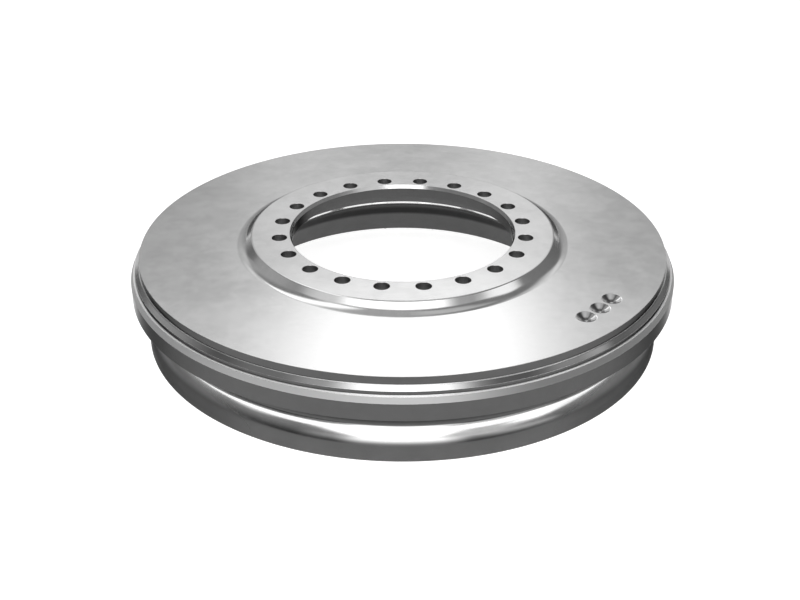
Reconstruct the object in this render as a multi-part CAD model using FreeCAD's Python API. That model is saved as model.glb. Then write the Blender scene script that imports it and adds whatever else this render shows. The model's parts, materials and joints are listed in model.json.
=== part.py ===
import FreeCAD, Part
import math
import os

# Torque converter turbine: one aluminium casting, machined on its back, with cast vanes in its
# flow side. It stands on the lip of its shell, with the flow side down. Lengths are in
# millimetres, the axis is Z, and Z is 0 at the lip.

# Hub flange that the output hub bolts to
OVERALL_HEIGHT = 72.6
FLANGE_THICKNESS = 9.9
BORE_RADIUS = 80.9
BORE_CHAMFER_WIDTH = 1.4
BORE_CHAMFER_DEPTH = 2.6
BOLT_CIRCLE_RADIUS = 90.0
BOLT_COUNT = 20
BOLT_HOLE_RADIUS = 5.5

# Raised face round the bolts, and its side, a slope between a small round and a wide hollow one
BOSS_RADIUS = 108.8
BOSS_HEIGHT = 6.3
BOSS_SLOPE = 43.0
BOSS_EDGE_RADIUS = 3.0
BOSS_FOOT_RADIUS = 10.6

# Turned plate, a very flat cone, and the steps of the rim
PLATE_RADIUS = 190.6
PLATE_FALL = 1.65
PLATE_WALL = 6.0
UPPER_LEDGE = 0.9
UPPER_CHAMFER_WIDTH = 2.7
UPPER_CHAMFER_DROP = 2.4
UPPER_WALL = 2.9
LOWER_LEDGE = 1.6
LOWER_CHAMFER_WIDTH = 1.8
LOWER_CHAMFER_DROP = 4.0
RIM_WALL = 12.3

# Neck between the rim and the shell of the flow passage
NECK_DEPTH = 8.2
NECK_FOOT_FILLET = 2.5

# Shell round the flow passage
SHELL_RADIUS = 188.2
SHELL_WALL = 4.5
SHOULDER_RADIUS = 17.5
SHOULDER_HEIGHT = 6.4
PASSAGE_DEPTH = 28.0
CROWN_ANGLE = 45.0
INNER_TURN_RADIUS = 18.0

# Cavity inside the hub, where the stator sits
COUNTERBORE_RADIUS = 100.0
COUNTERBORE_DEPTH = 13.6
COUNTERBORE_CHAMFER_WIDTH = 1.1
COUNTERBORE_CHAMFER_DEPTH = 2.3
VAULT_RADIUS = 17.5
MOUTH_DEPTH = 62.2
MOUTH_HEIGHT = 14.0

# Core ring, a half-round channel that is open at the bottom
INLET_WIDTH = 14.2
CROWN_WIDTH = 15.3
CORE_RADIUS = 10.8
CORE_WALL = 3.0
CORE_OUTER_FOOT = 1.0
CORE_INNER_FOOT = 4.5

# Vanes, each bent round a line that runs straight out from the axis
VANE_COUNT = 23
VANE_THICKNESS = 3.4
VANE_BEND_RADIUS = 52.0
VANE_FOOT_ANGLE = 54.0
VANE_FOOT_HEIGHT = 3.0
VANE_ROOT = 1.2

# Balancing spots, drilled in the plate after the casting was spun
SPOT_COUNT = 3
SPOT_RADIUS = 6.9
SPOT_CIRCLE_RADIUS = 167.9
SPOT_FIRST_ANGLE = -44.5
SPOT_STEP_ANGLE = 5.45
SPOT_POINT_ANGLE = 130.0

# How far a round may stand off the short cones that stand for it, outside and on the flow side
OUTSIDE_ROUND_ERROR = 0.3
FLOW_ROUND_ERROR = 1.05

# How far a cutter for a hole runs past the metal, and how near two points are one corner
CUTTER_OVERRUN = 1.0
SAME_CORNER = 1e-6

# Heights and radii that follow from the sizes above
FLANGE_UNDERSIDE = OVERALL_HEIGHT - FLANGE_THICKNESS
PLATE_TOP = OVERALL_HEIGHT - BOSS_HEIGHT
PLATE_EDGE = PLATE_TOP - PLATE_FALL
UPPER_STEP_RADIUS = PLATE_RADIUS + UPPER_LEDGE + UPPER_CHAMFER_WIDTH
RIM_RADIUS = UPPER_STEP_RADIUS + LOWER_LEDGE + LOWER_CHAMFER_WIDTH
UPPER_LEDGE_HEIGHT = PLATE_EDGE - PLATE_WALL
LOWER_LEDGE_HEIGHT = UPPER_LEDGE_HEIGHT - UPPER_CHAMFER_DROP - UPPER_WALL
RIM_TOP = LOWER_LEDGE_HEIGHT - LOWER_CHAMFER_DROP
RIM_UNDERSIDE = RIM_TOP - RIM_WALL
SHOULDER_CENTRE = SHELL_RADIUS - SHOULDER_RADIUS
NECK_RADIUS = SHELL_RADIUS - NECK_DEPTH
MOUTH_RADIUS = SHELL_RADIUS - MOUTH_DEPTH
PASSAGE_RADIUS = SHELL_RADIUS - SHELL_WALL
PASSAGE_SHOULDER = SHOULDER_RADIUS - SHELL_WALL
COUNTERBORE_LIP = FLANGE_UNDERSIDE - COUNTERBORE_DEPTH
CORE_CENTRE = PASSAGE_RADIUS - INLET_WIDTH - CORE_RADIUS
CORE_CENTRE_HEIGHT = PASSAGE_DEPTH - CROWN_WIDTH - CORE_RADIUS
AXIS = FreeCAD.Vector(0, 0, 1)
ORIGIN = FreeCAD.Vector(0, 0, 0)


def at(radius, height):
    """A point of the section, in the half plane of X and Z."""
    return FreeCAD.Vector(radius, 0, height)


def on_arc(centre, radius, degrees):
    """The point of a circle in the section at an angle from the radial direction."""
    turn = math.radians(degrees)
    return centre + at(radius * math.cos(turn), radius * math.sin(turn))


def rounded(centre, radius, first, last, error):
    """Points along an arc of the section, as few as keep its chords within the error."""
    widest = 2 * math.degrees(math.acos(1 - error / radius))
    count = math.ceil(abs(last - first) / widest)
    return [on_arc(centre, radius, first + (last - first) * step / count) for step in range(count + 1)]


def revolved(points):
    """The solid that a closed section makes when it goes round the axis."""
    corners = points[:1]
    for point in points[1:]:
        if corners[-1].distanceToPoint(point) > SAME_CORNER:
            corners.append(point)
    face = Part.Face(Part.makePolygon(corners + corners[:1]))
    return face.revolve(ORIGIN, AXIS, 360)


def boss_side():
    """The boss's side: a round off the flat face, a slope, and a hollow round into the plate."""
    slope = math.radians(BOSS_SLOPE)
    reach = BOSS_EDGE_RADIUS + BOSS_FOOT_RADIUS
    straight_drop = BOSS_HEIGHT - reach * (1 - math.cos(slope))
    width = reach * math.sin(slope) + straight_drop / math.tan(slope)
    high = at(BOSS_RADIUS, OVERALL_HEIGHT - BOSS_EDGE_RADIUS)
    foot = at(BOSS_RADIUS + width, PLATE_TOP + BOSS_FOOT_RADIUS)
    return [*rounded(high, BOSS_EDGE_RADIUS, 90, 90 - BOSS_SLOPE, OUTSIDE_ROUND_ERROR),
            *rounded(foot, BOSS_FOOT_RADIUS, 270 - BOSS_SLOPE, 270, OUTSIDE_ROUND_ERROR)]


def rim_steps():
    """The turned steps from the plate's edge down to the underside of the rim."""
    return [
        at(PLATE_RADIUS, PLATE_EDGE),
        at(PLATE_RADIUS, UPPER_LEDGE_HEIGHT),
        at(PLATE_RADIUS + UPPER_LEDGE, UPPER_LEDGE_HEIGHT),
        at(UPPER_STEP_RADIUS, UPPER_LEDGE_HEIGHT - UPPER_CHAMFER_DROP),
        at(UPPER_STEP_RADIUS, LOWER_LEDGE_HEIGHT),
        at(UPPER_STEP_RADIUS + LOWER_LEDGE, LOWER_LEDGE_HEIGHT),
        at(RIM_RADIUS, RIM_TOP),
        at(RIM_RADIUS, RIM_UNDERSIDE),
    ]


def shell_outside():
    """The neck under the rim, then the rounded shoulder of the shell down to its lip."""
    across = NECK_RADIUS + NECK_FOOT_FILLET - SHOULDER_CENTRE
    reach = SHOULDER_RADIUS + NECK_FOOT_FILLET
    rise = math.sqrt(reach ** 2 - across ** 2)
    foot = at(NECK_RADIUS + NECK_FOOT_FILLET, SHOULDER_HEIGHT + rise)
    meet = math.degrees(math.atan2(rise, across))
    return [
        at(NECK_RADIUS, RIM_UNDERSIDE),
        *rounded(foot, NECK_FOOT_FILLET, 180, 180 + meet, OUTSIDE_ROUND_ERROR),
        *rounded(at(SHOULDER_CENTRE, SHOULDER_HEIGHT), SHOULDER_RADIUS, meet, 0, OUTSIDE_ROUND_ERROR),
        at(SHELL_RADIUS, 0),
    ]


def crown():
    """The centre and radius of the crown of the passage, which rounds off the shoulder's arc."""
    lean = math.sin(math.radians(CROWN_ANGLE))
    radius = (PASSAGE_DEPTH - SHOULDER_HEIGHT - PASSAGE_SHOULDER * lean) / (1 - lean)
    shift = (radius - PASSAGE_SHOULDER) * math.cos(math.radians(CROWN_ANGLE))
    return at(SHOULDER_CENTRE - shift, PASSAGE_DEPTH - radius), radius


def passage_outline(root):
    """The shell side of the flow passage, from the inlet over the crown to the inner lip.

    It is taken deeper into the metal by root, where a vane takes hold.
    """
    middle, radius = crown()
    centre = at(middle.x, PASSAGE_DEPTH - INNER_TURN_RADIUS)
    lift = (MOUTH_HEIGHT + root - centre.z) / (INNER_TURN_RADIUS + root)
    end = 180 - math.degrees(math.asin(lift))
    shoulder = at(SHOULDER_CENTRE, SHOULDER_HEIGHT)
    return [
        at(PASSAGE_RADIUS + root, 0),
        *rounded(shoulder, PASSAGE_SHOULDER + root, 0, CROWN_ANGLE, FLOW_ROUND_ERROR),
        *rounded(middle, radius + root, CROWN_ANGLE, 90, FLOW_ROUND_ERROR),
        *rounded(centre, INNER_TURN_RADIUS + root, 90, end, FLOW_ROUND_ERROR),
    ]


def hub_cavity():
    """The wall round the stator, from the passage's inner lip up to the bore."""
    lip = COUNTERBORE_RADIUS + COUNTERBORE_CHAMFER_WIDTH
    lip_height = COUNTERBORE_LIP - COUNTERBORE_CHAMFER_DEPTH
    start = math.degrees(math.acos(COUNTERBORE_CHAMFER_WIDTH / VAULT_RADIUS))
    centre = at(COUNTERBORE_RADIUS, lip_height - VAULT_RADIUS * math.sin(math.radians(start)))
    return [
        at(MOUTH_RADIUS, MOUTH_HEIGHT),
        *rounded(centre, VAULT_RADIUS, 0, start, FLOW_ROUND_ERROR),
        at(lip, lip_height),
        at(COUNTERBORE_RADIUS, COUNTERBORE_LIP),
        at(COUNTERBORE_RADIUS, FLANGE_UNDERSIDE),
        at(BORE_RADIUS, FLANGE_UNDERSIDE),
        at(BORE_RADIUS, OVERALL_HEIGHT - BORE_CHAMFER_DEPTH),
        at(BORE_RADIUS + BORE_CHAMFER_WIDTH, OVERALL_HEIGHT),
    ]


def casting_body():
    """The turned and cast body, before its core ring, vanes and holes."""
    start = at(BORE_RADIUS + BORE_CHAMFER_WIDTH, OVERALL_HEIGHT)
    outside = [start] + boss_side() + rim_steps() + shell_outside()
    return revolved(outside + passage_outline(0) + hub_cavity())


def core_outline(depth, foot):
    """The core ring's section at a depth in its wall, from its inner foot to its outer side."""
    radius = CORE_RADIUS - depth
    start = 180 - math.degrees(math.asin((foot - CORE_CENTRE_HEIGHT) / radius))
    return rounded(at(CORE_CENTRE, CORE_CENTRE_HEIGHT), radius, start, 0, FLOW_ROUND_ERROR)


def core_ring():
    """The thin channel that the flow turns round, open at the bottom."""
    flow_side = core_outline(0, CORE_INNER_FOOT)
    hollow = core_outline(CORE_WALL, CORE_INNER_FOOT)
    feet = [at(flow_side[-1].x, CORE_OUTER_FOOT), at(hollow[-1].x, CORE_OUTER_FOOT)]
    return revolved(flow_side + feet + hollow[::-1])


def vane_room():
    """The flow passage with the roots that the vanes have in the shell and in the core ring."""
    core = core_outline(VANE_ROOT, CORE_INNER_FOOT + VANE_ROOT)
    return revolved(passage_outline(VANE_ROOT) + core + [at(core[-1].x, 0)])


def vane_plate():
    """A plate bent to a circle, longer and taller than the passage, with its foot flat."""
    foot_lean = math.sin(math.radians(VANE_FOOT_ANGLE))
    top_lean = foot_lean - (PASSAGE_DEPTH + SHELL_WALL - VANE_FOOT_HEIGHT) / VANE_BEND_RADIUS
    top = math.degrees(math.asin(top_lean))
    middle = (VANE_FOOT_ANGLE + top) / 2
    cosines = [math.cos(math.radians(angle)) for angle in (VANE_FOOT_ANGLE, top)]
    centre = FreeCAD.Vector(MOUTH_RADIUS, VANE_BEND_RADIUS * sum(cosines) / 2,
                            VANE_FOOT_HEIGHT + VANE_BEND_RADIUS * foot_lean)

    def bent(offset, degrees):
        angle = math.radians(degrees)
        size = VANE_BEND_RADIUS + offset
        return centre - FreeCAD.Vector(0, size * math.cos(angle), size * math.sin(angle))

    half = VANE_THICKNESS / 2
    curves = [
        Part.Arc(bent(half, top), bent(half, middle), bent(half, VANE_FOOT_ANGLE)),
        Part.LineSegment(bent(half, VANE_FOOT_ANGLE), bent(-half, VANE_FOOT_ANGLE)),
        Part.Arc(bent(-half, VANE_FOOT_ANGLE), bent(-half, middle), bent(-half, top)),
        Part.LineSegment(bent(-half, top), bent(half, top)),
    ]
    face = Part.Face(Part.Wire([curve.toShape() for curve in curves]))
    return face.extrude(FreeCAD.Vector(SHELL_RADIUS - MOUTH_RADIUS, 0, 0))


def vanes():
    first = vane_room().common(vane_plate())
    copies = []
    for number in range(VANE_COUNT):
        copy = first.copy()
        copy.rotate(ORIGIN, AXIS, 360 * number / VANE_COUNT)
        copies.append(copy)
    return copies


def bolt_holes():
    """Clearance holes on the bolt circle, set evenly either side of the X and Y axes."""
    holes = []
    for number in range(BOLT_COUNT):
        angle = math.radians(360 * (number + 0.5) / BOLT_COUNT)
        foot = FreeCAD.Vector(BOLT_CIRCLE_RADIUS * math.cos(angle),
                              BOLT_CIRCLE_RADIUS * math.sin(angle),
                              FLANGE_UNDERSIDE - CUTTER_OVERRUN)
        length = FLANGE_THICKNESS + 2 * CUTTER_OVERRUN
        holes.append(Part.makeCylinder(BOLT_HOLE_RADIUS, length, foot, AXIS))
    return holes


def balance_spots():
    """Shallow cones left by the point of the drill in the plate."""
    spread = SPOT_RADIUS / math.tan(math.radians(SPOT_POINT_ANGLE / 2))
    fall = (SPOT_CIRCLE_RADIUS - BOSS_RADIUS) / (PLATE_RADIUS - BOSS_RADIUS) * PLATE_FALL
    surface = PLATE_TOP - fall
    spots = []
    for number in range(SPOT_COUNT):
        angle = math.radians(SPOT_FIRST_ANGLE + number * SPOT_STEP_ANGLE)
        tip = FreeCAD.Vector(SPOT_CIRCLE_RADIUS * math.cos(angle),
                             SPOT_CIRCLE_RADIUS * math.sin(angle), surface - spread)
        spots.append(Part.makeCone(0, 2 * SPOT_RADIUS, 2 * spread, tip, AXIS))
    return spots


def turbine():
    cast = casting_body().fuse([core_ring()] + vanes())
    machined = cast.cut(bolt_holes() + balance_spots())
    return machined.removeSplitter()


os.makedirs("parts", exist_ok=True)
result = turbine()
solid = result.Solids[0]
print("solids", len(result.Solids), "faces", len(solid.Faces), "valid", solid.isValid())
print("volume litres", round(solid.Volume / 1e6, 3), "box", solid.BoundBox)
solid.exportStep("parts/turbine_casting.step")
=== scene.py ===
import json
import math

import bmesh
import bpy
import numpy as np
from bpy.props import FloatProperty, FloatVectorProperty, IntProperty, PointerProperty
from mathutils import Euler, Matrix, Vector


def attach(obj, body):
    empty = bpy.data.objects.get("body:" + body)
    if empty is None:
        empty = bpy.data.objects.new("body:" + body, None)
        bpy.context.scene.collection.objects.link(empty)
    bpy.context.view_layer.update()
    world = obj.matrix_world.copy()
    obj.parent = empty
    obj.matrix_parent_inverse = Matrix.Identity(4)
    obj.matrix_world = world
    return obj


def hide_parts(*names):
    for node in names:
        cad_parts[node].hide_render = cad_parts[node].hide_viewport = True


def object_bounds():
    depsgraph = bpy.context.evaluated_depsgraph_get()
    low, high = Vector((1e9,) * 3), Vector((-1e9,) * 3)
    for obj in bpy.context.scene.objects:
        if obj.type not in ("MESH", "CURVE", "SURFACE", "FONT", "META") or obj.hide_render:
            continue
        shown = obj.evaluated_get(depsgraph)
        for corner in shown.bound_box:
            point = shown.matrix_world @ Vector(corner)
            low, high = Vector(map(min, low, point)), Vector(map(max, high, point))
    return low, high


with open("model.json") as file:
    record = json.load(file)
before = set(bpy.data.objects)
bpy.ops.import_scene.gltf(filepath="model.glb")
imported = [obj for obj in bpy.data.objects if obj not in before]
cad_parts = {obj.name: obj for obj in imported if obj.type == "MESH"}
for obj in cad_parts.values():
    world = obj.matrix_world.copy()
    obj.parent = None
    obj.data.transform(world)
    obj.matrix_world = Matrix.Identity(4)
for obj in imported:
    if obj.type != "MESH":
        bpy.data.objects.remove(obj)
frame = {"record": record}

bl_info = {
    "name": "Torque Converter Turbine",
    "version": (1, 0, 0),
    "blender": (4, 5, 0),
    "location": "View3D > Sidebar > Turbine",
    "description": "Finished surfaces of a cast and turned turbine wheel, with its studio",
    "category": "Add Mesh",
}

# What the imported frame says: the body, the casting's node, its box and the sizes of its mounts
BODY = "root"
NODE = "turbine_casting"
CAD_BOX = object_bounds()
MOUNTS = {mount["name"]: mount for mount in frame["record"]["mounts"]}
MM = 0.001
TOP = float(CAD_BOX[1][2])
RIM = float(CAD_BOX[1][0])

# How finely the surfaces are divided
COLUMNS = 360
COARSE_TURN = math.radians(6.0)
FINE_TURN = math.radians(15.0)
FINE_RADIUS = 1.0 * MM

# Slack for rounding in angles, the distance under which points are one, and the least divisor
TURN_SLACK = 1e-6
SAME_ANGLE = 1e-7
ANGLE_DIGITS = 9
MERGE_DISTANCE = 1.5e-6
SMALLEST = 0.001

# Rows of a bolt hole: shares of the way to its edge, then turns round the edge
HOLE_SIDE_STEPS = 8
HOLE_SHARES = np.linspace(0.0, 1.0, 4)
HOLE_EDGE_TURNS = np.radians([30.0, 60.0, 90.0])

# Rings of a balancing spot: in lips out from its radius, then in shares of the cone inside them
SPOT_SIDE_STEPS = 12
SPOT_LIP_RINGS = np.array([1.0, 0.6, 0.2, -0.2, -0.6, -1.0])
SPOT_CONE_RINGS = np.array([0.8, 0.55, 0.3, 0.15, 0.07, 0.0])

# Places across a vane: in vane roots from each end, and turns round its free edges
VANE_STEPS = 28
VANE_ROOTS = np.array([0.0, 1.0, 1.25, 1.6, 2.1, 3.0])
VANE_NOSE_TURNS = np.radians(np.linspace(90.0, -90.0, 9))[1:-1]

# How far short of a sharp edge an arc stops, to leave room for the edge's own round
CORE_INSET = math.radians(7.0)
PASSAGE_INSET = math.radians(8.0)
VAULT_INSET = math.radians(3.0)

# The finishes of the casting, most of them with painted shade, highlights and reflections, and the number
# of each on its mesh
FINISHES = ("turned_aluminium_painted_shade", "blasted_aluminium", "blasted_cavity_painted_shade", "turned_step_painted_highlight", "matt_chamfer_painted_shade",
            "drilled_aluminium_painted_reflection", "matt_ledge")
TURNED, BLASTED, CAVITY, STEP, CHAMFER, DRILLED, LEDGE = range(len(FINISHES))
WHITE = (1.0, 1.0, 1.0, 1.0)

# Where one look goes over to the next, by height over the lip: edges of the painted shade and reflections
NECK_SHADE = (0.0215, 0.0255)
RIM_FOOT = (0.0371, 0.0373)
VAULT_SHADE = (0.0300, 0.0335)
VAULT_ROOF = (0.0370, 0.0440)
HOLE_FOOT = (0.0610, 0.0625)
SPOT_DEPTH = (0.0626, 0.0632)

# The same by how far the metal faces up, then right, then to either side, for the painted shade,
# highlights and reflections
FACES_UP = (0.32, 0.64)
LEANS_UP = (0.15, 0.42)
SPOT_TIP = (0.95, 0.99)
FAR_LEFT = (-1.0, -0.90)
FAR_RIGHT = (0.86, 0.95)
CHAMFER_LEFT = (-0.80, -0.45)
CHAMFER_RIGHT = (0.08, 0.42)
STEP_MIDDLE = (0.05, 0.17)
STEP_SIDES = (0.30, 0.60)
SHOULDER_SIDES = (0.42, 0.68)
WEDGE_MIDDLE = (0.30, 0.60)
WEDGE_SIDES = (0.86, 0.95)


def length(name, description, millimetres):
    """A size, given here in millimetres and shown in the scene's units."""
    return FloatProperty(name=name, description=description, default=millimetres * MM, unit="LENGTH",
                         precision=4)


def angle(name, description, degrees):
    """An angle, given here in degrees."""
    return FloatProperty(name=name, description=description, default=math.radians(degrees),
                         subtype="ANGLE")


def share(name, description, value):
    """A plain number between nothing and the whole."""
    return FloatProperty(name=name, description=description, default=value, min=0.0, max=1.0,
                         subtype="FACTOR")


def gain(name, description, value):
    """A factor of one or more."""
    return FloatProperty(name=name, description=description, default=value, min=1.0)


def shade(name, description, *levels):
    """A linear colour: one level for a grey, or red, green and blue."""
    return FloatVectorProperty(name=name, description=description, default=levels * (3 // len(levels)),
                               size=3, min=0.0, max=1.0, subtype="COLOR")


class HubSizes(bpy.types.PropertyGroup):
    """The flange that the hub bolts to, and the raised face round it."""
    flange: length("Flange Thickness", "Thickness of the bolting flange", 9.9)
    bore: length("Bore Radius", "Radius of the turned bore", MOUNTS["hub_bore"]["dims"]["r_mm"])
    bore_chamfer: length("Bore Chamfer Width", "Width of the bore's chamfer", 1.4)
    bore_chamfer_depth: length("Bore Chamfer Depth", "Depth of the bore's chamfer", 2.6)
    circle: length("Bolt Circle Radius", "Radius of the circle of bolt holes",
                   MOUNTS["hub_bolts"]["dims"]["pcd_mm"] / 2)
    holes: IntProperty(name="Bolt Holes", description="Number of bolt holes",
                       default=MOUNTS["hub_bolts"]["dims"]["count"], min=3)
    hole: length("Hole Radius", "Radius of a bolt hole", MOUNTS["hub_bolts"]["dims"]["hole_r_mm"])
    hole_edge: length("Hole Edge", "Round on the edge of a bolt hole", 0.25)
    band: length("Hole Band Radius", "Radius that the ring of bolt holes reaches to", 97.6)
    boss: length("Boss Radius", "Radius of the flat raised face", 109.27)
    boss_height: length("Boss Height", "Height of the raised face over the plate", 6.3)
    boss_slope: angle("Boss Slope", "Steepness of the boss's side", 43.0)
    boss_edge: length("Boss Edge", "Round off the raised face", 1.8)
    boss_foot: length("Boss Foot", "Hollow round into the plate", 10.6)


class RimSizes(bpy.types.PropertyGroup):
    """The turned plate, the steps of the rim and the neck under it."""
    plate: length("Plate Radius", "Radius of the turned plate", 190.6)
    plate_fall: length("Plate Fall", "How far the plate falls to its edge", 1.65)
    plate_wall: length("Plate Wall", "Height of the wall round the plate", 6.0)
    upper_ledge: length("Upper Ledge", "Width of the upper ledge", 0.9)
    upper_chamfer: length("Upper Chamfer", "Width of the upper chamfer", 2.7)
    upper_drop: length("Upper Chamfer Drop", "Height of the upper chamfer", 2.4)
    upper_wall: length("Upper Wall", "Height of the wall between the chamfers", 2.9)
    lower_ledge: length("Lower Ledge", "Width of the lower ledge", 1.6)
    lower_drop: length("Lower Chamfer Drop", "Height of the lower chamfer", 4.0)
    rim_wall: length("Rim Wall", "Height of the outermost wall", 12.3)
    neck_depth: length("Neck Depth", "How far the neck lies inside the shell's radius", 8.2)
    edge: length("Edge Break", "Round on a turned edge", 0.2)
    inside_edge: length("Inside Corner", "Round in the corner at the foot of a turned wall", 0.3)
    neck_top: length("Neck Top", "Hollow round between the rim and the neck", 5.0)
    neck_foot: length("Neck Foot", "Hollow round between the neck and the shell", 4.5)


class SpotSizes(bpy.types.PropertyGroup):
    """The shallow cones that the drill left when the casting was balanced."""
    count: IntProperty(name="Spots", description="Number of balancing spots", default=3, min=1)
    radius: length("Spot Radius", "Radius of a spot on the plate", 6.9)
    circle: length("Spot Circle", "Radius of the circle that the spots lie on", 167.9)
    first: angle("First Spot", "Place of the first spot round the axis", -44.5)
    step: angle("Spot Step", "Turn from one spot to the next", 5.45)
    point: angle("Drill Point", "Angle of the drill's point", 130.0)
    lip: length("Spot Lip", "Round on the rim of a spot", 0.5)
    tip: length("Spot Tip", "Round at the bottom of a spot", 1.3)
    margin: length("Spot Margin", "Plate that is kept round a spot", 1.1)


class FlowSizes(bpy.types.PropertyGroup):
    """The shell, the flow passage, the core ring and the cavity inside them."""
    shell: length("Shell Radius", "Outer radius of the shell", 188.2)
    wall: length("Shell Wall", "Thickness of the shell", 4.5)
    shoulder: length("Shoulder", "Round of the shell's shoulder", 17.5)
    shoulder_height: length("Shoulder Height", "Height of the shoulder's centre", 6.4)
    depth: length("Passage Depth", "Depth of the flow passage", 28.0)
    crown: angle("Crown Start", "Where the crown takes over from the shoulder", 45.0)
    inner_turn: length("Inner Turn", "Round of the passage's inner side", 18.0)
    counterbore: length("Counterbore Radius", "Radius of the counterbore", 100.0)
    counterbore_depth: length("Counterbore Depth", "Depth of the counterbore", 13.6)
    lip_width: length("Lip Width", "How far the vault's edge lies outside the counterbore", 1.1)
    lip_depth: length("Lip Depth", "How far the vault's edge lies under the counterbore", 2.3)
    bead: length("Lip Bead", "How far the counterbore's lower edge stands in, with a chamfer on it", 1.1)
    vault: length("Vault Radius", "Round of the cavity's roof", 17.5)
    mouth_depth: length("Mouth Depth", "How far the mouth lies inside the shell's radius", 62.2)
    mouth_height: length("Mouth Height", "Height of the mouth over the lip", 14.0)
    inlet: length("Inlet Width", "Width of the passage at its inlet", 14.2)
    crown_width: length("Crown Width", "Width of the passage over the core ring", 15.3)
    core: length("Core Radius", "Outer round of the core ring", 10.8)
    core_wall: length("Core Wall", "Thickness of the core ring", 3.0)
    core_outer_foot: length("Core Outer Foot", "Height of the core ring's outer foot", 1.0)
    core_inner_foot: length("Core Inner Foot", "Height of the core ring's inner foot", 4.5)
    cast_edge: length("Cast Edge", "Round on an edge that was left as cast", 1.1)


class VaneSizes(bpy.types.PropertyGroup):
    """The bent vanes that hold the core ring."""
    count: IntProperty(name="Vanes", description="Number of vanes", default=23, min=3)
    thickness: length("Vane Thickness", "Thickness of a vane", 3.4)
    bend: length("Vane Bend", "Radius that a vane is bent to", 52.0)
    foot_angle: angle("Vane Foot Angle", "Lean of the vane at its foot", 54.0)
    foot_height: length("Vane Foot Height", "Height of the vane's foot over the lip", 3.0)
    root: length("Vane Root", "How deep a vane is sunk in the metal at its ends", 1.2)
    fillet: length("Vane Fillet", "Hollow round where a vane meets the metal", 2.2)
    nose: length("Vane Nose", "Length of the rounded edge of a vane", 1.3)


class FinishSizes(bpy.types.PropertyGroup):
    """Colours of the metal, turned and as cast, with the painted shade, highlights and reflections laid on
    them.
    """
    turned: shade("Turned Metal", "Colour of the turned faces", 0.90)
    # Painted dark reflection: the upright turned faces get this dark colour, for the camera only.
    walls: shade("Turned Walls", "Colour of the upright turned faces", 0.095)
    chamfer: shade("Matt Chamfer", "Colour of the lower chamfer", 0.55)
    # Painted reflection: the colour of the dark wedge shapes of a balancing spot.
    wedges: shade("Drilled Wedges", "Colour of the dark wedges of a balancing spot", 0.22)
    # Painted highlight on the upper step: bright where it faces forwards or far to a side, with painted
    # shade between.
    narrow: share("Narrow Shine", "Brightness of the upper chamfer beside its middle", 0.15)
    aside: share("Side Shine", "Brightness of the upper chamfer at its far sides", 0.85)
    dull_sides: share("Dull Sides", "Roughness added to the shoulder at its far sides", 0.30)
    # Painted shade on the shoulder at its far sides.
    side_loss: share("Side Loss", "How much darker the shoulder is at its far sides", 0.70)
    # Painted shade on the lower chamfer, by which side it faces.
    chamfer_left: share("Chamfer Left", "Brightness of the lower chamfer at its far left", 0.60)
    chamfer_right: share("Chamfer Right", "Brightness of the lower chamfer at its right", 0.42)
    ledge: shade("Lower Ledge", "Colour of the lower ledge", 0.95)
    # Painted shade under the rim, for the camera only.
    under_rim: share("Under Rim", "How much darker the neck is under the rim", 0.55)
    # Painted light on the walls that face far to the left, and painted shade on those that face far to the
    # right.
    left_walls: gain("Left Walls", "How much lighter the walls are at the far left", 1.3)
    right_walls: share("Right Walls", "How bright the walls stay at the far right", 0.55)
    # Painted shade in the cavity: lighter in the bolt holes, its dark colour, the darker one under its
    # roof, and how far the vault comes back.
    hole_walls: gain("Hole Walls", "How much lighter the bolt holes are than the cavity", 2.2)
    cavity: shade("Cavity", "Colour of the cavity inside the flow passage", 0.10)
    shaded: shade("Shaded Cavity", "Colour of the cavity under its roof", 0.022)
    vault: share("Vault", "How far the vault's roof goes back to the cavity's colour", 0.80)
    cast: shade("Cast Metal", "Colour of the faces left as cast", 0.42, 0.42, 0.415)
    turned_roughness: share("Turned Roughness", "Roughness of the turned faces", 0.16)
    cast_roughness: share("Cast Roughness", "Roughness of the faces left as cast", 0.52)
    blotches: share("Blotches", "Strength of the soft blotches on the metal", 0.035)
    gloss: share("Gloss", "How much the blotches change the roughness of the turned faces", 0.015)


class StudioSizes(bpy.types.PropertyGroup):
    """The camera and the light."""
    lens: FloatProperty(name="Lens", description="Focal length of the camera", default=56.64,
                        unit="CAMERA")
    camera: FloatVectorProperty(name="Camera", description="Place of the camera", size=3,
                                default=(-0.00181, -0.8340, 0.4665), subtype="TRANSLATION")
    tilt: angle("Camera Tilt", "How far the camera is tipped up from looking straight down", 61.5)
    floor: length("Floor Radius", "Radius of the floor", 14000.0)
    floor_glow: share("Floor Glow", "How much of the floor's white is its own", 0.82)
    dome: share("Dome", "Strength of the even light from all round", 0.17)


def settings():
    """The sizes and colours that are set in the sidebar."""
    return bpy.context.scene.turbine


def heading(angles):
    """Unit vectors at angles: their cosines and sines."""
    return np.stack([np.cos(angles), np.sin(angles)], axis=-1)


def corner(radius, height, rounding, label=""):
    """A corner of a section: where it is, the round that takes its point off, and its name."""
    return (radius, height, rounding, label)


def arc_corner(centre, radius, first, last):
    """The corner that becomes the arc of a circle between two angles when it is rounded.

    It is where the tangents at both ends of the arc meet: on the arc's middle angle, at the
    radius over the cosine of half the turn.
    """
    middle = (first + last) / 2
    reach = radius / math.cos((last - first) / 2)
    return corner(centre[0] + reach * math.cos(middle), centre[1] + reach * math.sin(middle), radius)


def turned_left(direction):
    """Directions in the section, turned a quarter turn to the left."""
    return np.stack([-direction[:, 1], direction[:, 0]], axis=1)


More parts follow.
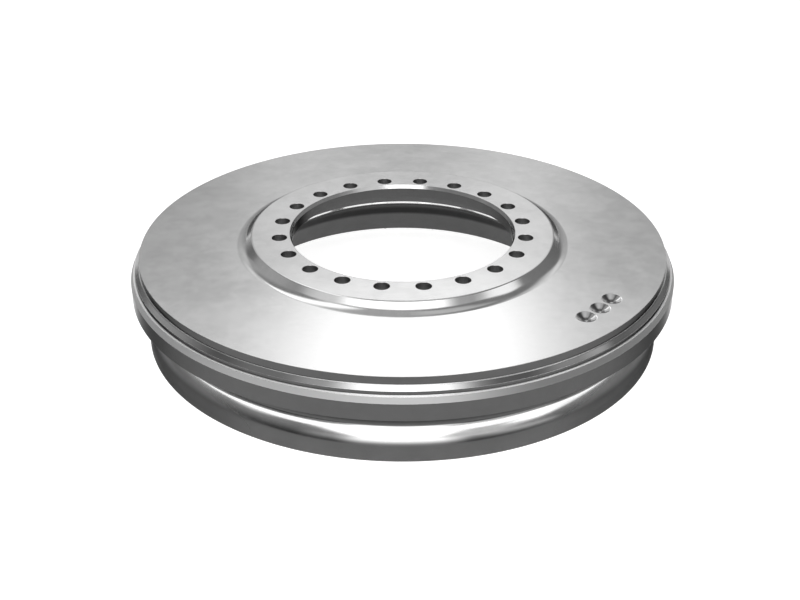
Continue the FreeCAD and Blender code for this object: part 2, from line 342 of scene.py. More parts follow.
def rounded_section(corners):
    """Points and outward normals of a closed section, walked clockwise, with rounded corners.

    Each corner gives way to a circle that touches the runs on both its sides. The circle's
    centre is off the incoming run by its radius, and a point of it is that centre plus the
    radius times the side vector, turned step by step until it faces the outgoing run. The
    normal is the walking direction turned to the left. Returned are the points, the normals,
    and by the name of each corner the rows of its first and last point.
    """
    radii, heights, rounding, labels = zip(*corners)
    place, rounding = np.stack([radii, heights], axis=1), np.array(rounding)
    leave = np.roll(place, -1, axis=0) - place
    leave /= np.linalg.norm(leave, axis=1, keepdims=True)
    come = np.roll(leave, 1, axis=0)
    cross = come[:, 0] * leave[:, 1] - come[:, 1] * leave[:, 0]
    turn = np.arctan2(cross, (come * leave).sum(axis=1))
    widest = np.where(rounding < FINE_RADIUS, FINE_TURN, COARSE_TURN)
    steps = np.ceil(np.abs(turn) / widest - TURN_SLACK).astype(int)
    rows = steps + 1
    first = np.cumsum(rows) - rows
    owner = np.repeat(np.arange(len(corners)), rows)
    share_of_turn = (np.arange(len(owner)) - first[owner]) / np.maximum(steps[owner], 1)
    side = turned_left(come) * np.sign(turn)[:, None]
    back = rounding * np.tan(np.abs(turn) / 2)
    centre = place - come * back[:, None] + side * rounding[:, None]
    swing = turn[owner] * share_of_turn
    cosine, sine = np.cos(swing)[:, None], np.sin(swing)[:, None]
    spoke = -side[owner]
    points = centre[owner] + rounding[owner, None] * (spoke * cosine + turned_left(spoke) * sine)
    walking = come[owner] * cosine + turned_left(come[owner]) * sine
    return points, turned_left(walking), dict(zip(labels, first)), dict(zip(labels, first + steps))


def wheel(points, normals, columns):
    """A closed section carried round the axis: the place and normal of each row at each column.

    A row's radius goes to X and Y by the cosine and sine of the column's angle, and its height
    stays. Normals turn in the same way. The first row comes once more as the last.
    """
    cosine, sine = np.cos(columns), np.sin(columns)

    def carried(values):
        across, up = np.append(values, values[:1], axis=0).T
        return np.stack([np.outer(across, cosine), np.outer(across, sine),
                         np.outer(up, np.ones_like(sine))], axis=-1)

    return carried(points), carried(normals)


def cells(index):
    """The numbers of the four points round each cell of a grid of numbered points."""
    return np.stack([index[:-1, :-1], index[1:, :-1], index[1:, 1:], index[:-1, 1:]], axis=-1)


def tie(mesh, finishes):
    """Make a finished mesh a piece with its materials, in the place of the casting's node."""
    for material in finishes:
        mesh.materials.append(material)
    piece = bpy.data.objects.new(mesh.name, mesh)
    bpy.context.scene.collection.objects.link(piece)
    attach(piece, BODY)
    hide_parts(NODE)


class Surface:
    """Patches of a surface, each a grid of places and normals, that become one mesh."""

    def __init__(self):
        self.patches = []
        self.count = 0

    def add(self, places, normals, keep=True, finish=TURNED):
        """Take in a grid whose last column joins its first.

        Its rows run along the section and its columns to the left of that. keep says which
        cells are faces, and finish is the number of the finish, one for the grid or one for
        each row of cells.
        """
        rows, columns = places.shape[:2]
        index = np.arange(rows * columns).reshape(rows, columns) + self.count
        quads = cells(np.append(index, index[:, :1], axis=1))
        finishes = np.broadcast_to(np.reshape(finish, (-1, 1)), quads.shape[:2])
        chosen = np.broadcast_to(keep, quads.shape[:2])
        self.patches.append((places.reshape(-1, 3), normals.reshape(-1, 3),
                             quads[chosen], finishes[chosen]))
        self.count += rows * columns

    def piece(self, name):
        """Make the object: points that coincide are merged, and the worked-out normals are kept."""
        places, normals, quads, finishes = [np.concatenate(part) for part in zip(*self.patches)]
        mesh = bpy.data.meshes.new(name)
        mesh.from_pydata(places, [], quads)
        mesh.polygons.foreach_set("material_index", finishes.astype(np.int32))
        kept = mesh.attributes.new("worked_out_normal", "FLOAT_VECTOR", "POINT")
        kept.data.foreach_set("vector", normals.astype(np.float32).ravel())
        shape = bmesh.new()
        shape.from_mesh(mesh)
        bmesh.ops.remove_doubles(shape, verts=shape.verts, dist=MERGE_DISTANCE)
        shape.to_mesh(mesh)
        shape.free()
        mesh.shade_smooth()
        normals = np.empty(len(mesh.vertices) * 3, np.float32)
        kept = mesh.attributes["worked_out_normal"]
        kept.data.foreach_get("vector", normals)
        mesh.attributes.remove(kept)
        mesh.normals_split_custom_set_from_vertices(normals.reshape(-1, 3).tolist())
        tie(mesh, materials())


def plate_height(radius):
    """Height of the plate, which falls evenly from the raised face's radius to its edge."""
    hub, rim = settings().hub, settings().rim
    fall = (radius - hub.boss) / (rim.plate - hub.boss) * rim.plate_fall
    return TOP - hub.boss_height - fall


def rim_heights():
    """Heights of the upper ledge, the lower ledge, the crest under it and the rim's foot."""
    rim = settings().rim
    upper = plate_height(rim.plate) - rim.plate_wall
    lower = upper - rim.upper_drop - rim.upper_wall
    crest = lower - rim.lower_drop
    return upper, lower, crest, crest - rim.rim_wall


def crown():
    """Centre and radius of the arc that carries the passage from its shoulder to its top."""
    flow = settings().flow
    shoulder = flow.shoulder - flow.wall
    lean = math.sin(flow.crown)
    radius = (flow.depth - flow.shoulder_height - shoulder * lean) / (1 - lean)
    shift = (radius - shoulder) * math.cos(flow.crown)
    return (flow.shell - flow.shoulder - shift, flow.depth - radius), radius


def passage_arcs(root):
    """The arcs of the passage's shell side: centre, radius, first and last angle of each."""
    flow = settings().flow
    middle, radius = crown()
    shoulder = (flow.shell - flow.shoulder, flow.shoulder_height)
    inner = (middle[0], flow.depth - flow.inner_turn)
    lift = (flow.mouth_height + root - inner[1]) / (flow.inner_turn + root)
    end = math.pi - math.asin(lift)
    return [(shoulder, flow.shoulder - flow.wall + root, 0.0, flow.crown),
            (middle, radius + root, flow.crown, math.pi / 2),
            (inner, flow.inner_turn + root, math.pi / 2, end)]


def core_centre():
    """Centre of the core ring's round section."""
    flow = settings().flow
    return (flow.shell - flow.wall - flow.inlet - flow.core,
            flow.depth - flow.crown_width - flow.core)


def hub_corners():
    """The corners of the flange's top, from the bore's chamfer to the foot of the boss."""
    hub, rim = settings().hub, settings().rim
    run = hub.boss_height / math.tan(hub.boss_slope)
    shoulder = hub.boss + hub.boss_edge * math.tan(hub.boss_slope / 2)
    foot = shoulder + run
    return [
        corner(hub.bore + hub.bore_chamfer, TOP, rim.edge, "bore chamfer"),
        corner(hub.band, TOP, 0.0),
        corner(shoulder, TOP, hub.boss_edge),
        corner(foot, plate_height(foot), hub.boss_foot),
    ]


def rim_corners():
    """The corners of the plate, of the steps of its rim, and of the rim's underside."""
    rim, spots = settings().rim, settings().spots
    reach = spots.radius + spots.margin
    step = rim.plate + rim.upper_ledge + rim.upper_chamfer
    upper, lower, crest, foot = rim_heights()
    inner, outer = spots.circle - reach, spots.circle + reach
    return [
        corner(inner, plate_height(inner), 0.0, "spot band"),
        corner(outer, plate_height(outer), 0.0),
        corner(rim.plate, plate_height(rim.plate), rim.edge),
        corner(rim.plate, upper, rim.inside_edge, "upper ledge"),
        corner(rim.plate + rim.upper_ledge, upper, rim.edge),
        corner(step, upper - rim.upper_drop, rim.edge, "upper wall"),
        corner(step, lower, rim.inside_edge, "lower ledge"),
        corner(step + rim.lower_ledge, lower, rim.edge, "lower chamfer"),
        corner(RIM, crest, rim.edge, "rim wall"),
        corner(RIM, foot, 2 * rim.edge),
    ]


def shell_corners():
    """The corners of the neck, the shell's shoulder and the lip that the part stands on."""
    rim, flow = settings().rim, settings().flow
    neck = flow.shell - rim.neck_depth
    centre = (flow.shell - flow.shoulder, flow.shoulder_height)
    across = neck + rim.neck_foot - centre[0]
    rise = math.sqrt((flow.shoulder + rim.neck_foot) ** 2 - across ** 2)
    meet = math.atan2(rise, across)
    foot = (neck + rim.neck_foot, centre[1] + rise)
    return [
        corner(neck, rim_heights()[-1], rim.neck_top),
        arc_corner(foot, rim.neck_foot, math.pi, math.pi + meet),
        arc_corner(centre, flow.shoulder, meet, 0.0),
        corner(flow.shell, 0.0, flow.cast_edge / 2, "shell lip"),
    ]


def cavity_corners():
    """The corners of the flow passage and of the cavity, from the lip up to the bore."""
    hub, rim, flow = settings().hub, settings().rim, settings().flow
    underside = TOP - hub.flange
    lip = underside - flow.counterbore_depth
    lip_edge = (flow.counterbore + flow.lip_width, lip - flow.lip_depth)
    roof = math.acos(flow.lip_width / flow.vault)
    vault = (flow.counterbore, lip_edge[1] - flow.vault * math.sin(roof))
    mouth = (flow.shell - flow.mouth_depth, flow.mouth_height)
    away = (mouth[0] - vault[0], mouth[1] - vault[1])
    touch = math.atan2(away[1], away[0]) + math.acos(flow.vault / math.hypot(*away))
    arcs = passage_arcs(0.0)
    centre, radius, _, end = arcs[-1]
    turn_end = (centre[0] + radius * math.cos(end), centre[1] + radius * math.sin(end))
    return [
        corner(flow.shell - flow.wall, 0.0, flow.cast_edge / 2),
        *[arc_corner(*arc) for arc in arcs[:-1]],
        arc_corner(centre, radius, math.pi / 2, end - PASSAGE_INSET),
        corner(*turn_end, flow.cast_edge),
        corner(*mouth, flow.cast_edge, "mouth"),
        arc_corner(vault, flow.vault, touch, roof - VAULT_INSET),
        corner(*lip_edge, flow.bead, "vault edge"),
        corner(flow.counterbore - flow.bead, lip, flow.bead / 2),
        corner(flow.counterbore, lip + flow.bead, rim.edge),
        corner(flow.counterbore, underside, rim.inside_edge),
        corner(hub.band, underside, 0.0, "hole band"),
        corner(hub.bore, underside, rim.edge, "bore foot"),
        corner(hub.bore, TOP - hub.bore_chamfer_depth, rim.edge),
    ]


def even_turns(count):
    """Evenly spaced angles right round the axis, with the first once more at the end."""
    return np.arange(count + 1) * (2 * math.pi / count) - math.pi


def spot_cells():
    """First and last angle of the part of the plate that each balancing spot has to itself."""
    spots = settings().spots
    middle = spots.first + spots.step * np.arange(spots.count)
    return np.stack([middle - spots.step / 2, middle + spots.step / 2], axis=1)


def wheel_columns():
    """The angles of the columns: evenly spaced, with the edges of the spots' cells added."""
    spots = spot_cells()
    turns = np.concatenate([even_turns(COLUMNS)[:-1], spots[:, 0], spots[-1:, 1]])
    return np.unique(np.round(turns, ANGLE_DIGITS))


def outline_of_cell(low, high, first, last, columns, side_steps):
    """The closed outline of a part of a ring, walked clockwise as seen from above.

    It is given as radii and angles: along the inner circle forwards, straight out, along the
    outer circle backwards, and straight in.
    """
    inside = columns[(columns > first + SAME_ANGLE) & (columns < last - SAME_ANGLE)]
    angles = np.concatenate([[first], inside, [last]])
    between = low + (high - low) * np.arange(1, side_steps) / side_steps
    radii = np.concatenate([np.full(len(angles), low), between,
                            np.full(len(angles), high), between[::-1]])
    turns = np.concatenate([angles, np.full(side_steps - 1, last), angles[::-1],
                            np.full(side_steps - 1, first)])
    return radii, turns


def spokes(radii, turns, centre_radius, centre_turn):
    """Start points of an outline in the plane, and their directions from a centre inside it."""
    edge = radii[:, None] * heading(turns)
    centre = centre_radius * heading(centre_turn)
    away = edge - centre
    reach = np.linalg.norm(away, axis=1)
    return edge, centre, away / reach[:, None], reach


def hole_patch(surface, columns, first, last, bands):
    """One bolt hole with the metal round it, above, inside and below.

    Above and below, rows run in straight lines from the outline of the hole's own part of the
    flange to the hole's edge. The edge is a quarter round, and the wall is a cylinder.
    """
    hub = settings().hub
    wide = hub.hole + hub.hole_edge
    lean = np.append(0 * HOLE_SHARES, HOLE_EDGE_TURNS)
    drops = hub.hole_edge * (1 - np.cos(lean))
    sine, cosine = np.sin(lean)[:, None, None], np.cos(lean)[:, None, None]
    rows, normals = [], []
    for low, height, up in zip(bands, (TOP, TOP - hub.flange), (1.0, -1.0)):
        outline = outline_of_cell(low, hub.band, first, last, columns, HOLE_SIDE_STEPS)
        edge, centre, away, reach = spokes(*outline, hub.circle, (first + last) / 2)
        spans = np.concatenate([reach + (wide - reach) * HOLE_SHARES[:, None],
                                wide - hub.hole_edge * np.sin(HOLE_EDGE_TURNS[:, None]) + 0 * reach])
        plane = centre + away * spans[..., None]
        plane[0] = edge
        heights = height - up * drops[:, None] + 0 * reach
        rows.append(np.concatenate([plane, heights[..., None]], axis=-1))
        normals.append(np.concatenate([-away * sine, up * cosine + 0 * away[:, :1]], axis=-1))
    finish = np.full(2 * len(lean) - 1, TURNED)
    # The hole's wall takes the cavity's finish, with its painted shade.
    finish[len(lean) - 1] = CAVITY
    surface.add(np.append(rows[0], rows[1][::-1], axis=0), np.append(normals[0], normals[1][::-1], axis=0),
                finish=finish)


def spot_depth(distance):
    """Depth of a balancing spot and its slope, by the distance from the drill's axis.

    Inside, depth falls off evenly as a cone's does. At the tip the distance is replaced by the
    root of its square and the tip's square, and at the lip the cone runs out in a parabola.
    """
    spots = settings().spots
    steep = 1 / math.tan(spots.point / 2)
    soft = np.sqrt(distance ** 2 + spots.tip ** 2)
    inner = (spots.radius + spots.tip - soft) * steep
    start, end = spots.radius - spots.lip, spots.radius + spots.lip
    lift = np.clip(end - distance, 0.0, None)
    outer = lift ** 2 * steep / (2 * (end - start))
    depth = np.where(distance < start, inner, outer)
    slope = np.where(distance < start, -steep * distance / soft, -lift * steep / (end - start))
    return depth, slope


def spot_patch(surface, columns, first, last):
    """One balancing spot and the plate round it, as rings about the drill's axis.

    The normal leans by the spot's slope along the way from the drill's axis, and by the plate's
    fall along the way from the wheel's axis.
    """
    hub, rim, spots = settings().hub, settings().rim, settings().spots
    reach = spots.radius + spots.margin
    outline = outline_of_cell(spots.circle - reach, spots.circle + reach, first, last, columns,
                              SPOT_SIDE_STEPS)
    edge, centre, away, span = spokes(*outline, spots.circle, (first + last) / 2)
    rings = np.append(spots.radius + spots.lip * SPOT_LIP_RINGS,
                      (spots.radius - spots.lip) * SPOT_CONE_RINGS)
    distance = np.concatenate([span[None], rings[:, None] + 0 * span])
    plane = centre + away * distance[..., None]
    plane[0] = edge
    radius = np.linalg.norm(plane, axis=-1, keepdims=True)
    depth, slope = spot_depth(distance)
    depth[0] = 0.0
    slope[0] = 0.0
    height = plate_height(radius) - depth[..., None]
    fall = rim.plate_fall / (rim.plate - hub.boss)
    uphill = away * slope[..., None] + plane / radius * fall
    facing = np.concatenate([uphill, np.ones_like(height)], axis=-1)
    facing /= np.linalg.norm(facing, axis=-1, keepdims=True)
    plain = len(SPOT_LIP_RINGS) // 2
    surface.add(np.concatenate([plane, height], axis=-1), facing,
                finish=np.where(np.arange(len(rings)) < plain, TURNED, DRILLED))


def casting_surface():
    """The casting's body as one closed surface round the axis, with its holes and spots."""
    points, normals, first, last = rounded_section(
        hub_corners() + rim_corners() + shell_corners() + cavity_corners())
    columns = wheel_columns()
    spots = spot_cells()
    middles = (columns + np.roll(columns, -1)) / 2
    keep = np.ones((len(points), len(columns)), bool)
    keep[[last["bore chamfer"], last["hole band"]]] = False
    keep[last["spot band"], (middles > spots[0, 0]) & (middles < spots[-1, 1])] = False
    finish = np.full(len(points), TURNED)
    # The upper step gets a painted highlight, the lower chamfer painted shade at its sides, and the cavity
    # painted shade.
    for start, end, kind in ((last["upper ledge"], first["upper wall"], STEP),
                             (last["lower ledge"], first["lower chamfer"], LEDGE),
                             (last["lower chamfer"], first["rim wall"], CHAMFER),
                             (first["shell lip"], last["mouth"], BLASTED),
                             (last["mouth"], first["vault edge"], CAVITY)):
        finish[start:end] = kind
    surface = Surface()
    surface.add(*wheel(points, normals, columns), keep=keep, finish=finish)
    closed_columns = np.append(columns, columns[0] + 2 * math.pi)
    bands = (points[last["bore chamfer"], 0], points[first["bore foot"], 0])
    sectors = even_turns(settings().hub.holes)
    for low, high in zip(sectors[:-1], sectors[1:]):
        hole_patch(surface, closed_columns, low, high, bands)
    for low, high in spots:
        spot_patch(surface, closed_columns, low, high)
    return surface


def core_corners():
    """The corners of the core ring's section, from its inner foot over its top and back."""
    flow = settings().flow
    centre = core_centre()
    hollow = flow.core - flow.core_wall
    drop = flow.core_inner_foot - centre[1]
    outer_end = math.pi - math.asin(drop / flow.core)
    inner_end = math.pi - math.asin(drop / hollow)
    half = math.pi / 2
    outer_foot = flow.core_outer_foot - flow.cast_edge / 2
    return [
        corner(centre[0] + flow.core * math.cos(outer_end), flow.core_inner_foot, flow.cast_edge),
        arc_corner(centre, flow.core, outer_end - CORE_INSET, half),
        arc_corner(centre, flow.core, half, 0.0),
        corner(centre[0] + flow.core, outer_foot, flow.cast_edge),
        corner(centre[0] + hollow, outer_foot, flow.cast_edge),
        arc_corner(centre, hollow, 0.0, half),
        arc_corner(centre, hollow, half, inner_end - CORE_INSET),
        corner(centre[0] + hollow * math.cos(inner_end), flow.core_inner_foot, flow.cast_edge),
    ]


def walked_arcs(arcs, shares):
    """Points at shares of the whole length along arcs that join, each a circle's stretch."""
    centres, radii, starts, ends = (np.array(values) for values in zip(*arcs))
    lengths = radii * np.abs(ends - starts)
    reached = np.cumsum(lengths)
    walked = shares * reached[-1]
    which = np.minimum(np.searchsorted(reached, walked), len(arcs) - 1)
    inside = (walked - (reached - lengths)[which]) / lengths[which]
    angles = starts[which] + (ends - starts)[which] * inside
    return centres[which] + radii[which, None] * heading(angles)


def vane_lines(steps):
    """The two edges of a vane in the section, from the inlet to the outlet.

    Both are walked in equal steps: the outer edge up the shell's wall and along the passage's
    arcs, the inner edge along the round of the core ring, each sunk by the vane's root.
    """
    flow, vane = settings().flow, settings().vanes
    shares = np.linspace(0.0, 1.0, steps)
    arcs = passage_arcs(vane.root)
    shoulder, radius, _, crown_start = arcs[0]
    foot = vane.foot_height + vane.nose
    start = -math.asin((shoulder[1] - foot) / radius)
    outer = walked_arcs([(shoulder, radius, start, crown_start), *arcs[1:]], shares)
    outer[:, 0] = np.where(outer[:, 1] < shoulder[1], shoulder[0] + radius, outer[:, 0])
    centre = core_centre()
    sunk = flow.core - vane.root
    low = math.asin((foot - centre[1]) / sunk)
    end = math.pi - math.asin((flow.core_inner_foot + vane.root - centre[1]) / sunk)
    inner = walked_arcs([(centre, sunk, low, end)], shares)
    return outer, inner


def vane_bend_centre():
    """Centre of the circle that a vane is bent to, in the plane across its length."""
    flow, vane = settings().flow, settings().vanes
    foot_lean = math.sin(vane.foot_angle)
    height = flow.depth + flow.wall - vane.foot_height
    top_angle = math.asin(foot_lean - height / vane.bend)
    across = vane.bend * (math.cos(vane.foot_angle) + math.cos(top_angle)) / 2
    return across, vane.foot_height + vane.bend * foot_lean


def vane_grid():
    """One vane as a closed loop of rows, carried from the shell to the core ring.

    A place on the vane's middle is found in the section between its two edges, then moved
    sideways to the circle that the vane is bent to, keeping its distance from the axis. The
    faces lie half the thickness off that, more where the hollow round at each end begins, and
    the two free edges are half ellipses.
    """
    vane = settings().vanes
    outer, inner = vane_lines(VANE_STEPS)
    span = np.linalg.norm(inner - outer, axis=1)[:, None]
    near = VANE_ROOTS * vane.root + 0 * span
    across = np.concatenate([near, span / 2, span - near[:, ::-1]], axis=1)
    section = outer[:, None] + (inner - outer)[:, None] * (across / span)[..., None]
    centre_across, centre_height = vane_bend_centre()
    below = centre_height - section[..., 1]
    sideways = centre_across - np.sqrt(vane.bend ** 2 - below ** 2)
    along = np.sqrt(section[..., 0] ** 2 - sideways ** 2)
    middle = np.stack([along, sideways, section[..., 1]], axis=-1)
    facing = np.stack([np.zeros_like(below), (centre_across - sideways) / vane.bend,
                       below / vane.bend], axis=-1)
    reach = np.minimum(across, span - across) - vane.root
    hollow = np.clip(vane.fillet - reach, 0.0, vane.fillet)
    flare = vane.fillet - np.sqrt(vane.fillet ** 2 - hollow ** 2)
    half = (vane.thickness / 2 + flare)[..., None]
    turns = VANE_NOSE_TURNS[:, None, None]

    def nose(end, neighbour, side):
        run = middle[end] - middle[neighbour]
        run /= np.linalg.norm(run, axis=-1, keepdims=True)
        return (middle[end] + run * vane.nose * np.cos(turns)
                + side * facing[end] * half[end] * np.sin(turns))

    return np.concatenate([middle + facing * half, nose(-1, -2, 1.0),
                           (middle - facing * half)[::-1], nose(0, 1, -1.0)])


def vane_mesh():
    """All vanes: the loop of one is closed and capped at its ends, and copies are turned round."""
    grid = vane_grid()
    rows, columns = grid.shape[:2]
    index = np.arange(rows * columns).reshape(rows, columns)
    half = rows // 2
    quads = [cells(np.append(index, index[:1], axis=0).T).reshape(-1, 4)]
    for side, order in ((0, 1), (-1, -1)):
        cap = np.stack([index[:half, side], index[half:, side][::-1]], axis=1)
        quads.append(cells(cap).reshape(-1, 4)[:, ::order])
    count = settings().vanes.count
    turns = np.arange(count)[:, None, None] * (2 * math.pi / count)
    x, y, z = np.moveaxis(grid, -1, 0)
    places = np.stack([x * np.cos(turns) - y * np.sin(turns), x * np.sin(turns) + y * np.cos(turns),
                       z + 0 * turns], axis=-1)
    copies = np.concatenate(quads) + np.arange(count)[:, None, None] * rows * columns
    mesh = bpy.data.meshes.new("vanes")
    mesh.from_pydata(places.reshape(-1, 3), [], copies.reshape(-1, 4))
    shape = bmesh.new()
    shape.from_mesh(mesh)
    bmesh.ops.recalc_face_normals(shape, faces=shape.faces)
    shape.to_mesh(mesh)
    shape.free()
    mesh.shade_smooth()
    return mesh


def put(socket, value):
    """Give an input its value: another node's output, or a plain one."""
    if isinstance(value, bpy.types.NodeSocket):
        socket.id_data.links.new(value, socket)
    else:
        socket.default_value = value


def feed(node, **values):
    """Give a node's inputs their values by name. An underscore stands for a space."""
    for name, value in values.items():
        put(node.inputs[name.replace("_", " ")], value)
    return node


def output_of(tree, kind, name, **values):
    """An output of a new shader node, by its name."""
    return feed(tree.nodes.new("ShaderNode" + kind), **values).outputs[name]


def noise(vector, scale, detail, roughness):
    """A noise texture on a vector."""
    return output_of(vector.id_data, "TexNoise", "Fac", Vector=vector, Scale=scale, Detail=detail,
                     Roughness=roughness)


def axes_of(vector):
    """The X, Y and Z of a vector."""
    return feed(vector.id_data.nodes.new("ShaderNodeSeparateXYZ"), Vector=vector).outputs


def normal_axes(tree):
    """How far the surface faces to the right, away from the camera and up."""
    return axes_of(output_of(tree, "NewGeometry", "Normal"))


def ranged(value, span, low=0.0, high=1.0):
    """A value that goes softly from low to high while another one crosses a span."""
    node = value.id_data.nodes.new("ShaderNodeMapRange")
    node.interpolation_type = "SMOOTHSTEP"
    feed(node, Value=value, From_Min=span[0], From_Max=span[1], To_Min=low, To_Max=high)
    return node.outputs["Result"]


def maths(operation, *values):
    """A sum, product or other result of values, each another node's output or a number."""
    tree = next(value.id_data for value in values if isinstance(value, bpy.types.NodeSocket))
    node = tree.nodes.new("ShaderNodeMath")
    node.operation = operation
    for socket, value in zip(node.inputs, values):
        put(socket, value)
    return node.outputs["Value"]


def times(product, *values):
    """The product of values."""
    for value in values:
        product = maths("MULTIPLY", product, value)
    return product


def larger(first, second):
    """The larger of two values."""
    return maths("MAXIMUM", first, second)


def group(name, numbers, results):
    """An empty node group of a vector and numbers, with its inside inputs and outputs."""
    tree = bpy.data.node_groups.new(name, "ShaderNodeTree")
    tree.interface.new_socket(name="Vector", in_out="INPUT", socket_type="NodeSocketVector")
    for label in numbers:
        tree.interface.new_socket(name=label, in_out="INPUT", socket_type="NodeSocketFloat")
    for label in results:
        tree.interface.new_socket(name=label, in_out="OUTPUT", socket_type="NodeSocketFloat")
    return tree, tree.nodes.new("NodeGroupInput").outputs, tree.nodes.new("NodeGroupOutput").inputs


def blotches_group():
    """Soft blotches and small smudges, as on metal that was wiped and handled."""
    tree, given, result = group("soft_blotches", ["Strength"], ["Tone", "Gloss"])
    middle, crests = (0.3, 0.7), (0.70, 0.80)
    wide = ranged(noise(given["Vector"], 38.0, 4.0, 0.55), middle, -1.0, 1.0)
    small = ranged(noise(given["Vector"], 130.0, 3.0, 0.6), middle, -0.6, 0.6)
    specks = ranged(noise(given["Vector"], 420.0, 1.0, 0.5), crests, 0.0, 2.2)
    smudges = maths("ADD", wide, small)
    mixed = maths("ADD", smudges, specks)
    put(result["Tone"], maths("MULTIPLY_ADD", mixed, given["Strength"], 1.0))
    put(result["Gloss"], smudges)
    return tree


def turning_group():
    """Fine rings left by the turning tool, by the distance from the axis and the height."""
    tree, given, result = group("turning_rings", [], ["Height"])
    x, y, z = axes_of(given["Vector"])
    radius = maths("SQRT", maths("ADD", times(x, x), times(y, y)))
    section = output_of(tree, "CombineXYZ", "Vector", X=radius, Y=z)
    coarse, fine = noise(section, 260.0, 2.0, 0.5), noise(section, 1500.0, 2.0, 0.6)
    put(result["Height"], maths("MULTIPLY_ADD", fine, 0.35, coarse))
    return tree


def place_group(shared, vector, **values):
    """Put a node group into the tree that a vector is in, with its own values."""
    node = vector.id_data.nodes.new("ShaderNodeGroup")
    node.node_tree = shared
    return feed(node, Vector=vector, **values).outputs


def new_material(name):
    """The nodes of a new material, and its shader."""
    material = bpy.data.materials.new(name)
    material.use_nodes = True
    return material.node_tree, material.node_tree.nodes["Principled BSDF"]


def mixed_colour(factor, first, second):
    """Two colours, mixed by a factor. A Mix node's sockets for colours only go by number."""
    node = factor.id_data.nodes.new("ShaderNodeMix")
    node.data_type = "RGBA"
    for number, value in ((0, factor), (6, (*first, 1.0)), (7, (*second, 1.0))):
        put(node.inputs[number], value)
    return node.outputs[2]


def scaled_colour(colour, factor):
    """A colour times a grey value."""
    node = colour.id_data.nodes.new("ShaderNodeVectorMath")
    node.operation = "SCALE"
    return feed(node, Vector=colour, Scale=factor).outputs["Vector"]


def turned_material(name, blotches, turning, narrow):
    """Bright turned aluminium with blotches and fine rings, and painted shade on its upright faces.

    The upright walls get a painted dark reflection that only the camera sees: reflections see
    them bright. Painted light makes them lighter at the far left, painted shade makes them darker
    at the far right, and painted shade darkens the neck under the rim. The narrow finish keeps a
    painted highlight where it faces straight forwards or well to a side, and the shoulder gets
    painted shade at its sides.
    """
    finish = settings().finish
    tree, shader = new_material(name)
    place = output_of(tree, "TexCoord", "Object")
    height = axes_of(place)["Z"]
    across, _, up = normal_axes(tree)
    sideways = maths("ABSOLUTE", across)
    patches = place_group(blotches, place, Strength=finish.blotches)
    rough = maths("MULTIPLY_ADD", patches["Gloss"], finish.gloss, finish.turned_roughness)
    low = ranged(height, RIM_FOOT, 1.0, 0.0)
    # Painted dark reflection: metal that faces up keeps the bright colour and upright walls get the
    # painted dark one; above the rim's foot, metal that leans up less already counts as facing up.
    upward = larger(ranged(up, FACES_UP), maths("SUBTRACT", ranged(up, LEANS_UP), low))
    # On the upper step, painted highlight in the middle and at the far sides with painted shade between.
    if narrow:
        painted_light_window = larger(ranged(sideways, STEP_MIDDLE, 1.0, finish.narrow),
                        ranged(sideways, STEP_SIDES, 0.0, finish.aside))
    else:
        # Painted shade on the shoulder at its far sides; the roughness added there is a real roughness.
        away = times(ranged(sideways, SHOULDER_SIDES), low)
        painted_light_window = maths("MULTIPLY_ADD", away, -finish.side_loss, 1.0)
        rough = maths("MULTIPLY_ADD", away, finish.dull_sides, rough)
    # Only the camera sees the painted colours: other rays see the bright turned colour.
    seen = output_of(tree, "LightPath", "Is Camera Ray")
    bright = larger(times(upward, painted_light_window), maths("SUBTRACT", 1.0, seen))
    # Painted shade on the neck under the rim, for the camera only.
    under = times(ranged(height, NECK_SHADE), low, seen)
    # The tone holds the blotches, the painted shade under the rim, and painted light at the far left and
    # painted shade at the far right.
    tone = times(maths("MULTIPLY_ADD", under, -finish.under_rim, 1.0), patches["Tone"],
                 ranged(across, FAR_LEFT, finish.left_walls, 1.0),
                 ranged(across, FAR_RIGHT, 1.0, finish.right_walls))
    colour = mixed_colour(bright, finish.walls, finish.turned)
    rings = place_group(turning, place)["Height"]
    tangent = tree.nodes.new("ShaderNodeTangent")
    tangent.direction_type = "RADIAL"
    tangent.axis = "Z"
    feed(shader, Base_Color=scaled_colour(colour, tone), Metallic=1.0, Roughness=rough,
         Specular_Tint=(0.35, 0.35, 0.35, 1.0), Anisotropic=0.3, Anisotropic_Rotation=0.25,
         Tangent=tangent.outputs["Tangent"],
         Normal=output_of(tree, "Bump", "Normal", Height=rings, Strength=0.25, Distance=0.02 * MM))


def chamfer_material():
    """Matt bright metal of the lower chamfer, with painted shade at the right and at the far left."""
    finish = settings().finish
    tree, shader = new_material(FINISHES[CHAMFER])
    across = normal_axes(tree)["X"]
    # Painted shade by the way the chamfer faces: darker to the right and at the far left.
    level = times(ranged(across, CHAMFER_RIGHT, 1.0, finish.chamfer_right),
                  ranged(across, CHAMFER_LEFT, finish.chamfer_left, 1.0))
    feed(shader, Base_Color=mixed_colour(level, (0.0, 0.0, 0.0), finish.chamfer), Metallic=0.3,
         Roughness=0.5)


def ledge_material():
    """Half matt bright metal of the lower ledge."""
    shader = new_material(FINISHES[LEDGE])[1]
    feed(shader, Base_Color=(*settings().finish.ledge, 1.0), Metallic=0.5, Roughness=0.4)


